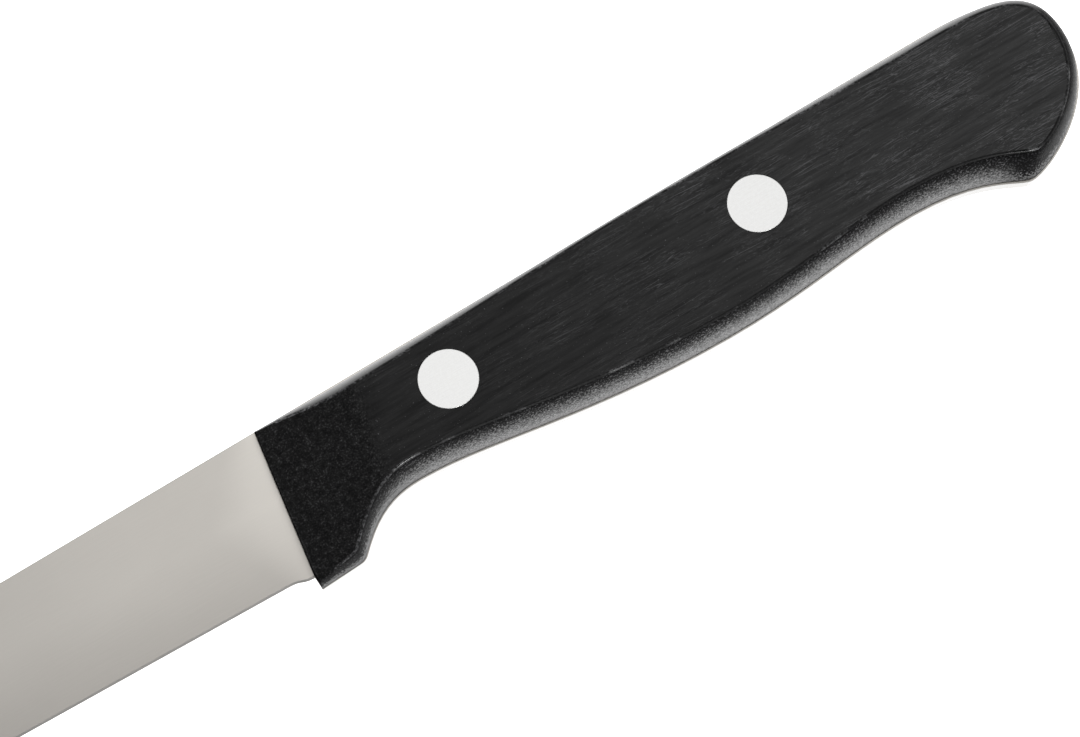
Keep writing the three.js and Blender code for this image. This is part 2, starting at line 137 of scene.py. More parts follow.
camera = new_object("camera", bpy.data.cameras.new("camera"))
camera.data.lens = LENS
camera.data.sensor_width = SENSOR_WIDTH
camera.data.clip_start = NEAREST_SHOWN
camera_axes = Matrix((picture_right, picture_up, towards_camera)).transposed()
camera_place = Matrix.Translation(aim + CAMERA_DISTANCE * towards_camera)
camera.matrix_world = camera_place @ camera_axes.to_4x4()
bpy.context.scene.camera = camera
print("Camera height in mm:", round(camera.matrix_world.translation.z / MM, 1))

# %% [markdown]
# ## The table
# A photographer's table is far larger than the picture, so that its edge doesn't show. A Plane
# would do, but a low view could catch one of its corners, and a disc has none. It is drawn as a
# bmesh, which is a mesh that can be edited, and then turned into a mesh that an object can show.

# %% Make the table
TABLE_RADIUS = 4.0
TABLE_SEGMENTS = 96


def mesh_of(shape, name):
    """Turns a bmesh into a mesh, and frees the bmesh."""
    mesh = bpy.data.meshes.new(name)
    shape.to_mesh(mesh)
    shape.free()
    return mesh


table_shape = bmesh.new()
bmesh.ops.create_circle(table_shape, cap_ends=True, segments=TABLE_SEGMENTS, radius=TABLE_RADIUS)
table = new_object("table", mesh_of(table_shape, "table"))
print("The table is", 2 * TABLE_RADIUS, "m across")

# %% [markdown]
# ## The glow of the table
# Knives are often photographed on a white table that is lit from below, so that no shadow
# shows. A white floor under strong lamps could look alike from above, but only a table with a
# glow of its own also brightens the sides of the handle. So its material gives off light.

# %% Light the table from below
TABLE_LOOK = {
    "Base Color": (0.9, 0.9, 0.9, 1),
    "Roughness": 0.8,
    "Emission Color": (1, 1, 1, 1),
    "Emission Strength": 1.6,
}


def new_finish(name):
    """A material, with its tree of nodes and the shader in the tree."""
    material = bpy.data.materials.new(name)
    material.use_nodes = True
    return material, material.node_tree, material.node_tree.nodes["Principled BSDF"]


white_table, _, table_shader = new_finish("white_table")
for socket, value in TABLE_LOOK.items():
    table_shader.inputs[socket].default_value = value
table.data.materials.append(white_table)
print("The table glows with a strength of", TABLE_LOOK["Emission Strength"])

# %% [markdown]
# ## The lights
# A studio lamp is a box with a white cloth in front. A large one gives soft, wide reflections,
# and a narrow one draws thin highlights. A sun or a point light would leave hard shadows and
# spots, so both lamps are area lights: a large one over the end of the handle, and a narrow
# strip on the belly side for the thin highlight on the crease. How bright a lamp looks is
# easier to choose than its power, so the power is worked out from the brightness and the area.

# %% Hang the lights
LIGHTS = {
    "overhead_softbox": {"place": (0.1, 0.15, 0.6), "size": (0.5, 0.5), "radiance": 1.15},
    "crease_strip": {"place": (0.0, -0.42, 0.42), "size": (0.2, 0.05), "radiance": 22.0},
}


def soft_light(name, place, size, radiance):
    """An area light that faces the knife, with its width and height and its brightness."""
    light = bpy.data.lights.new(name, "AREA")
    light.shape = "RECTANGLE"
    light.size, light.size_y = size
    light.energy = radiance * math.pi * light.size * light.size_y
    lamp = new_object(name, light)
    lamp.location = place
    lamp.rotation_mode = "QUATERNION"
    lamp.rotation_quaternion = Vector(place).to_track_quat("Z", "Y")
    print(name, "has", round(light.energy, 2), "W")


for name, values in LIGHTS.items():
    soft_light(name, **values)

# %% [markdown]
# ## Trees of nodes
# The room round the table is described by a tree of nodes, and so is every finish. Nodes could
# be placed by hand in the editor, but a script can be read and run again. Two helpers do most of
# the work: one adds a node and connects it, the other leads a value from one range to another.

# %% Start the room
RISING = (0, 1)


def add(tree, kind, inputs=(), **settings):
    """A node with its settings, its input values and the sockets that feed it."""
    made = tree.nodes.new(kind)
    for setting, value in settings.items():
        setattr(made, setting, value)
    for name, value in dict(inputs).items():
        if isinstance(value, bpy.types.NodeSocket):
            tree.links.new(value, made.inputs[name])
        else:
            made.inputs[name].default_value = value
    return made


def ranged(tree, value, source, target=RISING, smooth=False):
    """Maps a value from one range to another, and stays inside it."""
    bounds = {"From Min": source[0], "From Max": source[1], "To Min": target[0], "To Max": target[1]}
    kind = "SMOOTHSTEP" if smooth else "LINEAR"
    inputs = {"Value": value, **bounds}
    return add(tree, "ShaderNodeMapRange", inputs, interpolation_type=kind).outputs[0]


room = bpy.data.worlds.new("room")
room.use_nodes = True
print("The room starts with the nodes", [node.name for node in room.node_tree.nodes])

# %% [markdown]
# ## The room
# What a shiny thing shows is mostly the room round it. One grey for the whole room would be
# simple, but a bright one washes out the black plastic, and a dim one turns the steel dark. So
# the walls are pale, which lets the steel shine from every side, and the ceiling is dim, which
# keeps the depth of the plastic. The upward part of a direction tells the two apart.

# %% Paint the room
WALL_TOP = (math.sin(math.radians(25)), math.sin(math.radians(45)))
WALL_GLOW = 0.75
CEILING_GLOW = 0.1
ROOM_COLOUR = (1, 1, 1, 1)

background = room.node_tree.nodes["Background"]
direction = add(room.node_tree, "ShaderNodeTexCoord").outputs["Generated"]
upward = add(room.node_tree, "ShaderNodeSeparateXYZ", {0: direction}).outputs["Z"]
glow = ranged(room.node_tree, upward, WALL_TOP, (WALL_GLOW, CEILING_GLOW), smooth=True)
room.node_tree.links.new(glow, background.inputs["Strength"])
background.inputs["Color"].default_value = ROOM_COLOUR
bpy.context.scene.world = room
bpy.context.scene.view_settings.view_transform = "Standard"
print("The walls glow", WALL_GLOW, "and the ceiling", CEILING_GLOW)

# %% [markdown]
# ## A copy of the blade
# The blade and its tang are one piece of steel, stamped from sheet and ground to a wedge. A
# solid from CAD arrives as loose triangles, so its edges can't be chosen yet. The blade could be
# modelled again with clean faces, but a copy of the solid is sure to be true to it. The copy is
# merged at its shared corners, and the triangles of each flat face are joined into one.

# %% Merge a copy of the blade
MERGE_DISTANCE = 0.5e-6
FLAT_ANGLE = math.radians(0.02)


def merged_copy(node_name):
    """A bmesh with the node's shape, one vertex at each corner and one face on each flat."""
    shape = bmesh.new()
    shape.from_mesh(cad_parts[node_name].data)
    bmesh.ops.remove_doubles(shape, verts=shape.verts, dist=MERGE_DISTANCE)
    bmesh.ops.dissolve_limit(shape, angle_limit=FLAT_ANGLE, verts=shape.verts, edges=shape.edges)
    return shape


steel_shape = merged_copy("blade_with_tang")
print("The blade's copy has", len(steel_shape.verts), "corners and", len(steel_shape.faces), "faces")

# %% [markdown]
# ## The corners of the spine
# The spine and the tang's upper edge are linished on a belt, which takes their corners off. The
# cutting edge stays as the stone left it. The corners could be picked by hand in edit mode, but
# a rule still works when the solid changes: an edge is wanted if its faces meet at a clear angle,
# if one of them is upright, and if it lies above the rivets and away from their holes.

# %% Choose the corners of the spine
EDGE_ANGLE = math.radians(30)
RIVET_ZONE = 4.5 * MM
UPRIGHT_NORMAL = 0.1


def creases(shape, wanted):
    """The sharp edges of a shape for which wanted(edge) is true."""
    return [e for e in shape.edges if e.calc_face_angle(0) > EDGE_ANGLE and wanted(e)]


def near_rivet(edge):
    middle = (edge.verts[0].co + edge.verts[1].co) / 2
    return any((middle.xy - axis).length < RIVET_ZONE for axis in rivet_axis.values())


def on_spine(edge):
    """True on the two long corners of the spine, on the blade and on the tang."""
    upright = any(abs(face.normal.z) < UPRIGHT_NORMAL for face in edge.link_faces)
    above_rivets = all(v.co.y > FRONT_RIVET.y for v in edge.verts)
    return upright and above_rivets and not near_rivet(edge)


spine_edges = creases(steel_shape, on_spine)
print("The corners of the spine have", len(spine_edges), "edges")

# %% [markdown]
# ## Rounding an edge
# No real edge is perfectly sharp. A narrow rounded one catches the light as a thin line, and that
# line tells the eye how large a thing is. A Bevel modifier chooses its edges by angle or weight,
# and it would stay live. The bevel operator rounds just the edges that it is given, once.

# %% Round the spine
SPINE_ROUNDING = 0.08 * MM
SPINE_SEGMENTS = 2
ROUND_PROFILE = 0.5


def soften(shape, edges, width, segments):
    """Rounds some edges, and returns the new faces."""
    made = bmesh.ops.bevel(
        shape, geom=edges, offset=width, offset_type="OFFSET", affect="EDGES", segments=segments,
        profile=ROUND_PROFILE, material=-1, loop_slide=True)
    return made["faces"]


rounded = soften(steel_shape, spine_edges, SPINE_ROUNDING, SPINE_SEGMENTS)
print("The rounding of the spine has", len(rounded), "faces")

# %% [markdown]
# ## Three kinds of steel
# Three finishes meet on the blade: the satin faces, the linished sides, and the honed bevel at
# the cutting edge. They could be three objects, but the blade is one piece of metal, so its
# faces get three material slots, chosen by how much they lean.

# %% Sort the faces of the blade
SATIN, LINISHED, HONED = range(3)
SIDE_NORMAL = 0.5
BEVEL_NORMAL = 0.98

for face in steel_shape.faces:
    face.normal_update()
    lean = abs(face.normal.z)
    at_edge = lean < BEVEL_NORMAL and face.calc_center_median().y < FRONT_RIVET.y
    face.material_index = LINISHED if lean < SIDE_NORMAL else HONED if at_edge else SATIN
for name, kind in (("satin", SATIN), ("linished", LINISHED), ("honed", HONED)):
    print("Faces that are", name + ":", sum(face.material_index == kind for face in steel_shape.faces))

# %% [markdown]
# ## The blade as a piece
# A bmesh has no name and no place in the scene, so a helper makes an object of it. Shade Auto
# Smooth could find the edges where the shading breaks, but here it also breaks where two finishes
# meet, so every edge is marked. Level faces are shaded flat, which keeps them perfectly even. The
# helper also puts the piece on its body and hides the solid that it stands for.

# %% Finish the blade
LEVEL_NORMAL = 0.99999
GRIND_ANGLE = math.radians(9)


def finished_piece(shape, name, node, sharp_angle=EDGE_ANGLE):
    """Turns a bmesh into an object that rides on the knife and stands for a CAD node."""
    bmesh.ops.recalc_face_normals(shape, faces=shape.faces)
    for face in shape.faces:
        face.smooth = abs(face.normal.z) < LEVEL_NORMAL
    for edge in shape.edges:
        finishes = {face.material_index for face in edge.link_faces}
        edge.smooth = edge.calc_face_angle(0) < sharp_angle and len(finishes) == 1
    piece = new_object(name, mesh_of(shape, name))
    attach(piece, "root")
    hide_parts(node)
    print(name, "has", len(piece.data.polygons), "faces")
    return piece


blade = finished_piece(steel_shape, "blade_and_tang", "blade_with_tang", GRIND_ANGLE)

# %% [markdown]
# ## Painted sheen beside the handle
# The face of the blade is painted a little paler next to the handle, most of all half-way up. It
# is a painted reflection of the lamp. That could be painted on as an image, but an image has its
# own grain and needs a UV map. A share that is worked out from the place of a point is smooth at
# any size. Patterns read Object coordinates, which are metres on the knife itself.

# %% Helper for the paler steel
FRONT_FROM_RIVET = 21.95 * MM
FRONT_LEAN = math.tan(math.radians(7.3))
PALE_MIDDLE = -1 * MM
PALE_REACH = 9 * MM
PALE_WIDTHS = (10 * MM, 3.5 * MM)
PALE_FADE = (-1, 0.05)
PALE_SHARES = (0, 0.5)


def maths(tree, operation, first, second=0.0):
    return add(tree, "ShaderNodeMath", {0: first, 1: second}, operation=operation).outputs[0]


def place_of_point(tree):
    """The X, Y and Z of a point on the knife, in metres."""
    point = add(tree, "ShaderNodeTexCoord").outputs["Object"]
    return add(tree, "ShaderNodeSeparateXYZ", {0: point}).outputs


def painted_sheen_near_handle(tree, place):
    """Painted sheen: 0 out on the blade, most at the handle, widest half-way up the blade."""
    height = maths(tree, "SUBTRACT", place["Y"], FRONT_RIVET.y)
    lean = maths(tree, "MULTIPLY", height, FRONT_LEAN)
    front_x = maths(tree, "ADD", lean, FRONT_RIVET.x - FRONT_FROM_RIVET)
    off_middle = maths(tree, "ABSOLUTE", maths(tree, "SUBTRACT", height, PALE_MIDDLE))
    width = ranged(tree, off_middle, (0, PALE_REACH), PALE_WIDTHS)
    share = maths(tree, "DIVIDE", maths(tree, "SUBTRACT", place["X"], front_x), width)
    return ranged(tree, share, PALE_FADE, PALE_SHARES, smooth=True)


print("The handle's front is at x =", round((FRONT_RIVET.x - FRONT_FROM_RIVET) / MM, 1), "mm")

# %% [markdown]
# ## Belt lines
# A belt leaves lines that run along the blade, long and very thin. A Wave texture would make
# them all alike, and a scratch image would show its pixels up close. Noise has neither fault: a
# Mapping node stretches it, so that its features have a length and a width in metres.

# %% Helpers for patterns
FACE_LINES = (3 * MM, 0.06 * MM, 0.5 * MM)
SIDE_LINES = (4 * MM, 4 * MM, 0.08 * MM)


def noise(tree, size, detail=2.0, distortion=0.0, turn=0.0):
    """Noise from 0 to 1 with features of size = (x, y, z) metres, turned in the plane."""
    point = add(tree, "ShaderNodeTexCoord").outputs["Object"]
    turned = {"Vector": point, "Rotation": (0, 0, turn), "Scale": size}
    mapping = add(tree, "ShaderNodeMapping", turned, vector_type="TEXTURE")
    look = {"Scale": 1.0, "Detail": detail, "Distortion": distortion}
    return add(tree, "ShaderNodeTexNoise", {"Vector": mapping.outputs[0], **look}).outputs[0]


def average(tree, first, second):
    return maths(tree, "MULTIPLY", maths(tree, "ADD", first, second), 0.5)


print("Lines on the face are", FACE_LINES[0] / MM, "mm long and", FACE_LINES[1] / MM, "mm wide")

# %% [markdown]
# ## Colour and relief
# On the real blade a line is both a change of shade and a tiny furrow. A furrow could be modelled
# by displacing the mesh, but it is far finer than the faces. So one pattern does both: it mixes
# two colours, and a Bump node bends the light as a furrow of the given depth would.

# %% Helpers for colour and relief
FACE_LINE_DEPTH = 0.0002 * MM
SIDE_LINE_DEPTH = 0.0005 * MM


def tint(tree, share, first, second):
    """A colour between two others, each of them a (red, green, blue) or a socket."""
    ends = [c if isinstance(c, bpy.types.NodeSocket) else (*c, 1) for c in (first, second)]
    return add(tree, "ShaderNodeMix", {0: share, 6: ends[0], 7: ends[1]}, data_type="RGBA").outputs[2]


def bump(tree, height, depth=1.0):
    relief = {"Height": height, "Distance": depth, "Strength": 1.0}
    return add(tree, "ShaderNodeBump", relief).outputs[0]


def join(tree, output, shader, name):
    tree.links.new(output, shader.inputs[name])


print("Line depths in mm:", round(FACE_LINE_DEPTH / MM, 4), "and", round(SIDE_LINE_DEPTH / MM, 4))

# %% [markdown]
# ## Steel
# Belted steel is a metal with a blurred shine. Its colour is painted a little paler towards the
# spine and beside the handle, as a painted reflection of the lamp. Anisotropic shading could
# stretch its highlights, but under such wide lights that hardly shows. So fine lines and slow
# clouds are averaged into streaks, which join the two painted pale places and tint the metal.

# %% Helper for steel
MOST_OF_NOISE = (0.3, 0.7)
CORE_OF_NOISE = (0.35, 0.65)
STEEL_CLOUDS = (16 * MM, 9 * MM, 9 * MM)
UP_THE_BLADE = (FRONT_RIVET.y - 10 * MM, FRONT_RIVET.y - 1 * MM)
UPPER_SHARES = (0, 0.34)
STREAK_SHARES = (0.04, 0.2)
ROUGHNESS_SPREAD = 0.02


def steel_with_painted_sheen(name, dark, light, line_size, roughness, depth):
    """Steel with belt lines of a size and a depth, and painted sheen at the spine and handle."""
    material, tree, shader = new_finish(name)
    place = place_of_point(tree)
    lines = noise(tree, line_size, detail=3)
    streaks = average(tree, lines, noise(tree, STEEL_CLOUDS))
    streaks = ranged(tree, streaks, CORE_OF_NOISE, STREAK_SHARES)
    # Painted sheen: the colour is made paler up the blade and beside the handle, for the lamp's
    # reflection.
    upper = ranged(tree, place["Y"], UP_THE_BLADE, UPPER_SHARES)
    pale = maths(tree, "ADD", maths(tree, "ADD", painted_sheen_near_handle(tree, place), upper), streaks)
    join(tree, tint(tree, pale, dark, light), shader, "Base Color")
    spread = (roughness - ROUGHNESS_SPREAD, roughness + ROUGHNESS_SPREAD)
    join(tree, ranged(tree, lines, MOST_OF_NOISE, spread), shader, "Roughness")
    join(tree, bump(tree, lines, depth), shader, "Normal")
    shader.inputs["Metallic"].default_value = 1.0
    return material


print("The steel gets paler over", round((UP_THE_BLADE[1] - UP_THE_BLADE[0]) / MM, 1), "mm upwards")

# %% [markdown]
# ## Three steel finishes
# The satin faces are a warm grey. The linished sides are darker and shine more, and the honed
# bevel is the roughest. Three trees could be built one by one, but they differ only in their
# values, so the same helper makes all three.

# %% Make the steel
steels = {
    SATIN: steel_with_painted_sheen("satin_steel", dark=(0.43, 0.41, 0.383), light=(0.65, 0.623, 0.58),
                        line_size=FACE_LINES, roughness=0.32, depth=FACE_LINE_DEPTH),
    LINISHED: steel_with_painted_sheen("linished_steel", dark=(0.26, 0.256, 0.25), light=(0.42, 0.414, 0.405),
                           line_size=SIDE_LINES, roughness=0.25, depth=SIDE_LINE_DEPTH),
    HONED: steel_with_painted_sheen("honed_steel", dark=(0.5, 0.49, 0.47), light=(0.62, 0.605, 0.58),
                        line_size=FACE_LINES, roughness=0.38, depth=FACE_LINE_DEPTH),
}


def put_on(piece, finishes):
    """Fills the material slots of a piece in the order of their numbers."""
    for slot in sorted(finishes):
        piece.data.materials.append(finishes[slot])
    print(piece.name, "has", [material.name for material in piece.data.materials])


put_on(blade, steels)

# %% [markdown]
# ## Copies of the scales
# The scales are two mirror images in black plastic, pressed on the tang by the rivets. One could
# be made by mirroring the other, but a copy of each solid stays true to it, as with the blade.
# Every kind of surface gets its own material slot: the top, the crease round it, the groove
# along the tang, and the moulded side. Here the faces are sorted into tops and sides.

# %% Merge copies of the scales
TOP, CREASE, GROOVE, SIDE = range(4)
TOP_NORMAL = 0.8

scale_shapes = {place: merged_copy(f"{place}_scale") for place in ("upper", "lower")}
for place, shape in scale_shapes.items():
    for face in shape.faces:
        face.material_index = TOP if abs(face.normal.z) > TOP_NORMAL else SIDE
    tops = sum(face.material_index == TOP for face in shape.faces)
    print("The", place, "scale's copy has", len(shape.faces), "faces,", tops, "nearly level")

# %% [markdown]
# ## The crease round the flat
# The flat of a scale is linished level with the rivet heads. That leaves a crease round it,
# which hands rub a little rounder. A Bump node could fake the rounding, but only a real one
# shows in the outline and carries a finish of its own, so it is a bevel. The operator hands back
# the faces that it makes, which is the easiest moment to give them their slot. The front of the
# scale is too narrow for a bevel and stays sharp.

# %% Round the crease
CREASE_ROUNDING = 0.2 * MM
CREASE_SEGMENTS = 3
PLANE_TOLERANCE = 0.005 * MM
FRONT_NORMAL = -0.8


def on_joint_plane(edge):
    return all(abs(abs(v.co.z - TANG_MIDDLE) - TANG_HALF) < PLANE_TOLERANCE for v in edge.verts)


def touches_front(edge):
    return any(face.normal.x < FRONT_NORMAL for v in edge.verts for face in v.link_faces)


def has_room(edge):
    return not near_rivet(edge) and not touches_front(edge)


for place, shape in scale_shapes.items():
    edges = creases(shape, lambda e: has_room(e) and not on_joint_plane(e))
    rounded = soften(shape, edges, CREASE_ROUNDING, CREASE_SEGMENTS)
    for face in rounded:
        face.material_index = CREASE
    print("The", place, "crease has", len(rounded), "faces")

# %% [markdown]
# ## The groove along the tang
# Where a scale meets the tang, two edges that are not quite sharp make a fine groove, and dust
# gathers in it. A dark line in a material would do from far away, but close up it would look
# painted on. A second, smaller bevel opens a real groove, and light fades in it by itself. The
# narrow front faces share its dull slot.

# %% Open the groove
JOINT_ROUNDING = 0.15 * MM
JOINT_SEGMENTS = 2

for place, shape in scale_shapes.items():
    edges = creases(shape, lambda e: on_joint_plane(e) and has_room(e))
    for face in soften(shape, edges, JOINT_ROUNDING, JOINT_SEGMENTS):
        face.material_index = GROOVE
    for face in shape.faces:
        face.normal_update()
        if face.normal.x < FRONT_NORMAL:
            face.material_index = GROOVE
    dull = sum(face.material_index == GROOVE for face in shape.faces)
    print("The", place, "scale has", dull, "dull faces")

# %% [markdown]
# ## Where a point lies on the side
# A moulded side looks different near the tang and near the crease, and different on the belly
# and on the spine. The scale gets thinner towards the blade, so a plain height does not tell
# where a point lies. A UV map could, but it would have to be unwrapped by hand. Instead a ray
# from above finds the top of the scale at the same distance from the blade. The share of that
# height is stored at each vertex as an attribute, with the way the side faces, and a material
# can read both.

# %% Store the two attributes
HEIGHT_SHARE = "height_share"
FACING = "facing"
HANDLE_HALF = (cad_high.z - cad_low.z) / 2
BESIDE_RIVETS = 3.7 * MM
BEHIND_FRONT = 2.2 * MM
LEAST_OUTWARD = 0.01


def store_place_on_side(shape):
    """Stores a height from 0 at the tang to 1 at the top, and a facing from -1 belly to 1 spine."""
    shape.normal_update()
    height_share = shape.verts.layers.float.new(HEIGHT_SHARE)
    facing = shape.verts.layers.float.new(FACING)
    surface = BVHTree.FromBMesh(shape)
    first = min(v.co.x for v in shape.verts) + BEHIND_FRONT
    across = FRONT_RIVET.y + BESIDE_RIVETS
    for vert in shape.verts:
        side = 1 if vert.co.z > TANG_MIDDLE else -1
        along = min(max(vert.co.x, first), rivet_axis["rear"].x)
        start = Vector((along, across, TANG_MIDDLE + 2 * side * HANDLE_HALF))
        top = abs(surface.ray_cast(start, Vector((0, 0, -side)))[0].z - TANG_MIDDLE)
        vert[height_share] = (abs(vert.co.z - TANG_MIDDLE) - TANG_HALF) / (top - TANG_HALF)
        outward = vert.normal.xy
        vert[facing] = outward.y / outward.length if outward.length > LEAST_OUTWARD else 0.0


for place, shape in scale_shapes.items():
    store_place_on_side(shape)
    print("The", place, "scale knows the place of", len(shape.verts), "vertices")

# %% [markdown]
# ## The scales as pieces
# The two mouldings are separate pieces on the real knife, so they are separate objects too. One
# object for both would be shorter, but then neither could stand for its own solid.

# %% Finish both scales
scales = [
    finished_piece(shape, f"{place}_scale_moulding", f"{place}_scale")
    for place, shape in scale_shapes.items()
]

# %% [markdown]
# ## Scuffs on the flats
# The flats come off the belt with lengthwise wisps, thin lines and specks, and more of them
# show towards the butt. A scratch image would repeat itself along the handle. Noise never does,
# so each kind of mark is the top end of a noise with its own size, and the wisps and lines cross
# at two small angles. A slow noise on top lets them come and go like clouds.

# %% Helper for the scuffs
HANDLE_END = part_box("upper_scale")[1].x
ALONG_HANDLE = (FRONT_RIVET.x, HANDLE_END)
MORE_AT_BUTT = (0.25, 2.2)
CLOUD_SIZE = (6 * MM, 3 * MM, 5 * MM)
SPECK_SIZE = (0.22 * MM, 0.16 * MM, 0.2 * MM)
WISP_SIZE = (1.4 * MM, 0.2 * MM, 1 * MM)
LINE_SIZE = (10 * MM, 0.09 * MM, 1 * MM)
SCUFF_TURNS = (math.radians(-7), math.radians(6))
LINE_TURN = 0.4
CLOUD_NOISE = (0.38, 0.64)
CLOUD_SHARES = (0.05, 1)
SPECK_NOISE = (0.71, 0.78)
WISP_NOISE = (0.57, 0.8)
LINE_NOISE = (0.65, 0.74)


def scuffs(tree, along):
    """Wisps, thin lines and specks of a linished flat, as a share from 0 to 1."""
    clouds = ranged(tree, noise(tree, CLOUD_SIZE, detail=3), CLOUD_NOISE, CLOUD_SHARES)
    clouds = maths(tree, "MULTIPLY", clouds, ranged(tree, along, ALONG_HANDLE, MORE_AT_BUTT))
    share = ranged(tree, noise(tree, SPECK_SIZE, detail=1), SPECK_NOISE)
    for turn in SCUFF_TURNS:
        wisps = noise(tree, WISP_SIZE, detail=4, distortion=1.6, turn=turn)
        lines = noise(tree, LINE_SIZE, detail=1, distortion=0.1, turn=LINE_TURN * turn)
        marks = maths(
            tree, "MAXIMUM", ranged(tree, wisps, WISP_NOISE), ranged(tree, lines, LINE_NOISE))
        share = maths(tree, "MAXIMUM", share, maths(tree, "MULTIPLY", marks, clouds))
    return share


print("Scuffs grow over", round((HANDLE_END - FRONT_RIVET.x) / MM, 1), "mm of the handle")

# %% [markdown]
# ## The look of the flats
# Linished black plastic is a little grey where the belt marked it, and its gloss changes in
# long streaks. One even gloss would look like paint. So a stretched noise moves the gloss up and
# down, and it also rises towards the butt, because such flats look paler there.

# %% Helper for the flats
BLACK = (0.0035, 0.0035, 0.0037)
BLUE_PART = 1.04
MARK_GREY = 0.115
STREAK_SIZE = (7 * MM, 0.6 * MM, 2 * MM)
FLAT_ROUGHNESS = (0.36, 0.46)
FLAT_GLOSS = (0.24, 0.53)
STREAK_GLOSS = (0.6, 1.3)
MARK_DEPTH = 0.003 * MM


def grey(value):
    """A dark grey that leans a little to blue."""
    return (value, value, BLUE_PART * value)


def flat_look(tree, along):
    """The values of a linished flat for four inputs of a shader, the last one as a height."""
    marks = scuffs(tree, along)
    streaks = noise(tree, STREAK_SIZE, detail=5)
    along_gloss = ranged(tree, along, ALONG_HANDLE, FLAT_GLOSS)
    return {
        "Base Color": tint(tree, marks, BLACK, grey(MARK_GREY)),
        "Roughness": ranged(tree, streaks, CORE_OF_NOISE, FLAT_ROUGHNESS),
        "Specular IOR Level": maths(
            tree, "MULTIPLY", along_gloss, ranged(tree, streaks, CORE_OF_NOISE, STREAK_GLOSS)),
        "Normal": maths(tree, "MULTIPLY", marks, MARK_DEPTH),
    }


print("Streaks of the flats are", STREAK_SIZE[0] / MM, "mm long")

# %% [markdown]
# ## The look of the ramp
# In front of the flats the scales slope down to the blade, and the belt doesn't reach there. So
# the ramp keeps the fine grain of its mould, which sparkles where it is hit by light. The grain is
# hardly larger than a pixel, so a noise in the colour, the gloss and the relief shows it, not a
# displaced dense mesh. The pale flecks in the colour are partly grain and partly painted glints.

# %% Helper for the ramp
GRAIN_SIZE = (0.2 * MM,) * 3
BLOTCH_SIZE = (0.7 * MM,) * 3
BLOTCH_NOISE = (0.38, 0.64)
BLOTCH_SHARES = (0.5, 1)
SPARKLE_NOISE = (0.56, 0.8)
GRAIN_AND_GLINT_GREY = 0.075
GRAIN_ROUGHNESS = (0.48, 0.36)
GLOSSY_NOISE = (0.35, 0.7)
GRAIN_GLOSS = (0.17, 0.54)
GRAIN_DEPTH = 0.05 * MM


def ramp_look(tree):
    """The values of moulded grain for the same four inputs of a shader."""
    grain = noise(tree, GRAIN_SIZE, detail=3)
    uneven = ranged(tree, noise(tree, BLOTCH_SIZE, detail=3), BLOTCH_NOISE, BLOTCH_SHARES)
    # Painted glints: pale flecks in the colour, partly the grain's own tone and partly painted
    # sparkle.
    grain_and_painted_glints = maths(tree, "MULTIPLY", ranged(tree, grain, SPARKLE_NOISE), uneven)
    return {
        "Base Color": tint(tree, grain_and_painted_glints, BLACK, grey(GRAIN_AND_GLINT_GREY)),
        "Roughness": ranged(tree, grain, MOST_OF_NOISE, GRAIN_ROUGHNESS),
        "Specular IOR Level": maths(
            tree, "MULTIPLY", ranged(tree, grain, GLOSSY_NOISE, GRAIN_GLOSS), uneven),
        "Normal": maths(tree, "MULTIPLY", grain, GRAIN_DEPTH),
    }


print("The grain of the ramp is", round(GRAIN_SIZE[0] / MM, 2), "mm wide")

# %% [markdown]
# ## The plastic of the top
# The ramp runs into the flat without an edge, and the belt fades out over the last hair of its
# height. Two material slots would show a hard line there. One tree that mixes both looks by the
# height of a point has no such line.

# %% Make the plastic of the top
FLAT_BLEND = (HANDLE_HALF - 0.28 * MM, HANDLE_HALF - 0.01 * MM)


def mixed(tree, share, first, second):
    return add(tree, "ShaderNodeMix", {0: share, 2: first, 3: second}).outputs[0]


def black_top():
    material, tree, shader = new_finish("black_plastic_top")
    place = place_of_point(tree)
    from_middle = maths(tree, "ABSOLUTE", maths(tree, "SUBTRACT", place["Z"], TANG_MIDDLE))
    on_flat = ranged(tree, from_middle, FLAT_BLEND, smooth=True)
    ramp, flat = ramp_look(tree), flat_look(tree, place["X"])
    join(tree, tint(tree, on_flat, ramp["Base Color"], flat["Base Color"]), shader, "Base Color")
    for name in ("Roughness", "Specular IOR Level"):
        join(tree, mixed(tree, on_flat, ramp[name], flat[name]), shader, name)
    relief = mixed(tree, on_flat, ramp["Normal"], flat["Normal"])
    join(tree, bump(tree, relief), shader, "Normal")
    return material


plastics = {TOP: black_top()}
print(plastics[TOP].name, "has", len(plastics[TOP].node_tree.nodes), "nodes")

# %% [markdown]
# ## Zones along the handle
# The front, the middle and the butt of a handle wear in different ways, and so does the small
# hook under the butt. Vertex paint could mark those places, but it would have to be redone for
# every change. The zones are measured from the front rivet and the end of the handle instead,
# and a smooth step along the knife leads from one look into the next.

# %% Helper for the zones
FALLING = (1, 0)
FRONT_ZONE = (FRONT_RIVET.x - 15 * MM, FRONT_RIVET.x - 4 * MM)
BUTT_ZONE = (HANDLE_END - 17.5 * MM, HANDLE_END - 13.5 * MM)
HOOK_ZONE = (HANDLE_END - 12.8 * MM, HANDLE_END - 12.2 * MM)


def along_handle(tree, zone, shares):
    """A share that goes from one value to another within a zone along the handle."""
    return ranged(tree, place_of_point(tree)["X"], zone, shares, smooth=True)


def attribute(tree, name):
    return add(tree, "ShaderNodeAttribute", attribute_name=name).outputs["Fac"]


for name, zone in (("front", FRONT_ZONE), ("butt", BUTT_ZONE), ("hook", HOOK_ZONE)):
    print("The", name, "zone in mm:", [round(x / MM, 1) for x in zone])

# %% [markdown]
# ## The gloss of the sides
# The side of a scale reflects the white table, most of all close to the tang, where one looks
# along it. Hands have dulled it towards the crease. One value can't show that, so the gloss
# fades with the height share: slowly on the belly, and quickly at the front and the butt. The
# spine keeps a low gloss that hardly changes. The grain is added to the height first, which
# turns the fade into stipples.

